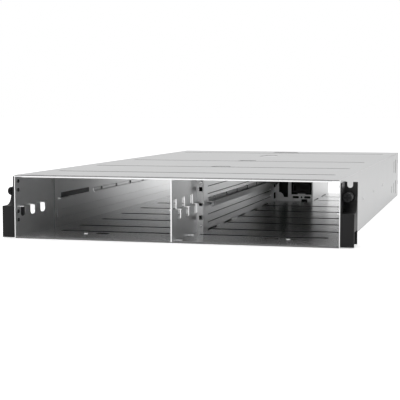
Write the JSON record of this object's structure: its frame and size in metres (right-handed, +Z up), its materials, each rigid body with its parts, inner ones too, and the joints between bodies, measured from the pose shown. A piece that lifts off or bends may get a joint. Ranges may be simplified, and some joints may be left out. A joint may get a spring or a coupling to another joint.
{
  "type": "rack server enclosure",
  "caption": "Empty rack server enclosure of bright sheet steel: open front bays with a central divider, black rack ears and rear power supplies.",
  "frame": {"origin": "bottom centre of the whole part, level with the floor pan's underside", "axes": "+X to the right seen from the front, +Y from the front bays to the rear, +Z up"},
  "size_m": [0.4826, 0.922, 0.087],
  "materials": {
    "galvanised_steel": "satin",
    "supply_steel": "satin",
    "black_steel": "satin",
    "black_plastic": "matte",
    "black_knob": "satin",
    "screw_steel": "polished",
    "rivet_steel": "satin",
    "connector_plastic": "matte",
    "board_laminate": "satin",
    "port_metal": "polished",
    "bright_wire": "polished",
    "latch_plastic": "matte"
  },
  "bodies": {
    "chassis": {"cage_front_panel": "galvanised_steel", "cage_partition": "galvanised_steel", "cage_rails": "galvanised_steel", "cage_shelf": "galvanised_steel", "cage_side_left": "galvanised_steel", "cage_side_right": "galvanised_steel", "divider_blade": "galvanised_steel", "divider_panel_left": "galvanised_steel", "divider_panel_right": "galvanised_steel", "divider_rail_left": "galvanised_steel", "divider_rail_right": "galvanised_steel", "divider_screws": "screw_steel", "ear_bracket_left": "black_steel", "ear_bracket_right": "black_steel", "ear_cap_left": "black_plastic", "ear_cap_right": "black_plastic", "ear_screws": "screw_steel", "floor_pan": "galvanised_steel", "front_cover": "galvanised_steel", "management_ports": "port_metal", "node_connector_lower_left": "connector_plastic", "node_connector_lower_right": "connector_plastic", "node_connector_upper_left": "connector_plastic", "node_connector_upper_right": "connector_plastic", "port_bracket": "galvanised_steel", "power_board": "board_laminate", "rail_rivets": "rivet_steel", "rear_vent_panel": "galvanised_steel", "side_rivets": "rivet_steel", "side_wall_left": "galvanised_steel", "side_wall_right": "galvanised_steel", "supply_sockets": "connector_plastic", "thumbscrew_ferrules": "screw_steel", "wall_liner_left": "galvanised_steel", "wall_liner_right": "galvanised_steel", "wall_rail_left": "galvanised_steel", "wall_rail_right": "galvanised_steel"},
    "rear_cover": {"rear_cover": "galvanised_steel"},
    "thumbscrew_right": {"thumbscrew_right": "black_knob"},
    "thumbscrew_left": {"thumbscrew_left": "black_knob"},
    "supply_right": {"supply_right_case": "supply_steel", "supply_right_handle": "black_plastic", "supply_right_fan_guard": "bright_wire"},
    "fan_right": {"supply_right_fan_rotor": "black_plastic"},
    "latch_right": {"supply_right_latch": "latch_plastic"},
    "supply_left": {"supply_left_case": "supply_steel", "supply_left_handle": "black_plastic", "supply_left_fan_guard": "bright_wire"},
    "fan_left": {"supply_left_fan_rotor": "black_plastic"},
    "latch_left": {"supply_left_latch": "latch_plastic"}
  },
  "joints": [
    {"name": "rear_cover_slide", "type": "slide", "parent": "chassis", "child": "rear_cover", "axis": [0, 1, 0], "range_m": [0, 0.012]},
    {"name": "thumbscrew_right_turn", "type": "hinge", "parent": "chassis", "child": "thumbscrew_right", "pos_m": [0.2314, -0.428, 0.0642], "axis": [0, 1, 0], "continuous": true},
    {"name": "thumbscrew_left_turn", "type": "hinge", "parent": "chassis", "child": "thumbscrew_left", "pos_m": [-0.2314, -0.428, 0.0642], "axis": [0, 1, 0], "continuous": true},
    {"name": "supply_right_slide", "type": "slide", "parent": "chassis", "child": "supply_right", "axis": [0, 1, 0], "range_m": [0, 0.18]},
    {"name": "fan_right_spin", "type": "hinge", "parent": "supply_right", "child": "fan_right", "pos_m": [0.0205, 0.432, 0.02195], "axis": [0, 1, 0], "continuous": true},
    {"name": "latch_right_squeeze", "type": "hinge", "parent": "supply_right", "child": "latch_right", "pos_m": [0.0763, 0.4286, 0.02195], "axis": [0, 0, 1], "range_deg": [0, 12], "stiffness_Nm_per_rad": 0.05},
    {"name": "supply_left_slide", "type": "slide", "parent": "chassis", "child": "supply_left", "axis": [0, 1, 0], "range_m": [0, 0.18]},
    {"name": "fan_left_spin", "type": "hinge", "parent": "supply_left", "child": "fan_left", "pos_m": [-0.0601, 0.432, 0.02195], "axis": [0, 1, 0], "continuous": true},
    {"name": "latch_left_squeeze", "type": "hinge", "parent": "supply_left", "child": "latch_left", "pos_m": [-0.0043, 0.4286, 0.02195], "axis": [0, 0, 1], "range_deg": [0, 12], "stiffness_Nm_per_rad": 0.05}
  ]
}
